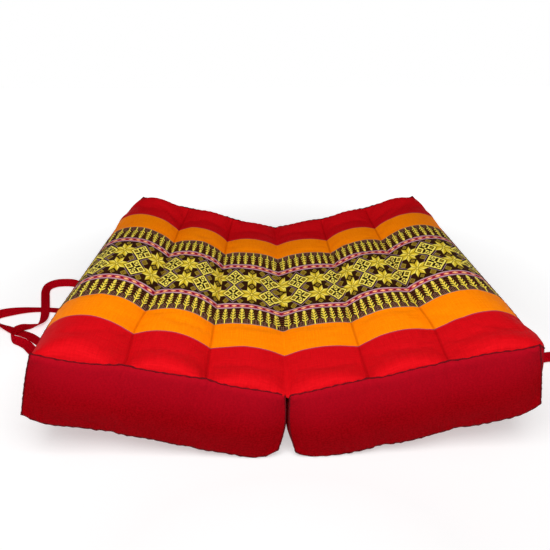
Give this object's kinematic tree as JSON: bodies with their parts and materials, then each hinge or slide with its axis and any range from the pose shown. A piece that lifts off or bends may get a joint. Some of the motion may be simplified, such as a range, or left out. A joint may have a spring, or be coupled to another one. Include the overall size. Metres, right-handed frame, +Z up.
{
  "type": "folding floor cushion",
  "caption": "Folding floor cushion of filled halves with sewn channels, joined along a fold and lying half open in a shallow V, with flat cloth ties at its outer ends.",
  "frame": {"origin": "on the floor under the middle of the fold", "axes": "+X across the fold to the right half, +Y along the fold to the back, +Z up"},
  "size_m": [0.9404, 0.4634, 0.1667],
  "materials": {
    "cushion_cover": "satin cotton weave, striped on top",
    "tie_tape": "matt cotton tape"
  },
  "bodies": {
    "root": {"left_half": "cushion_cover", "right_half": "cushion_cover", "fold_seam": "cushion_cover", "tie_left_rear": "tie_tape", "tie_left_front": "tie_tape", "tie_right_front": "tie_tape", "tie_right_rear": "tie_tape"}
  },
  "joints": []
}
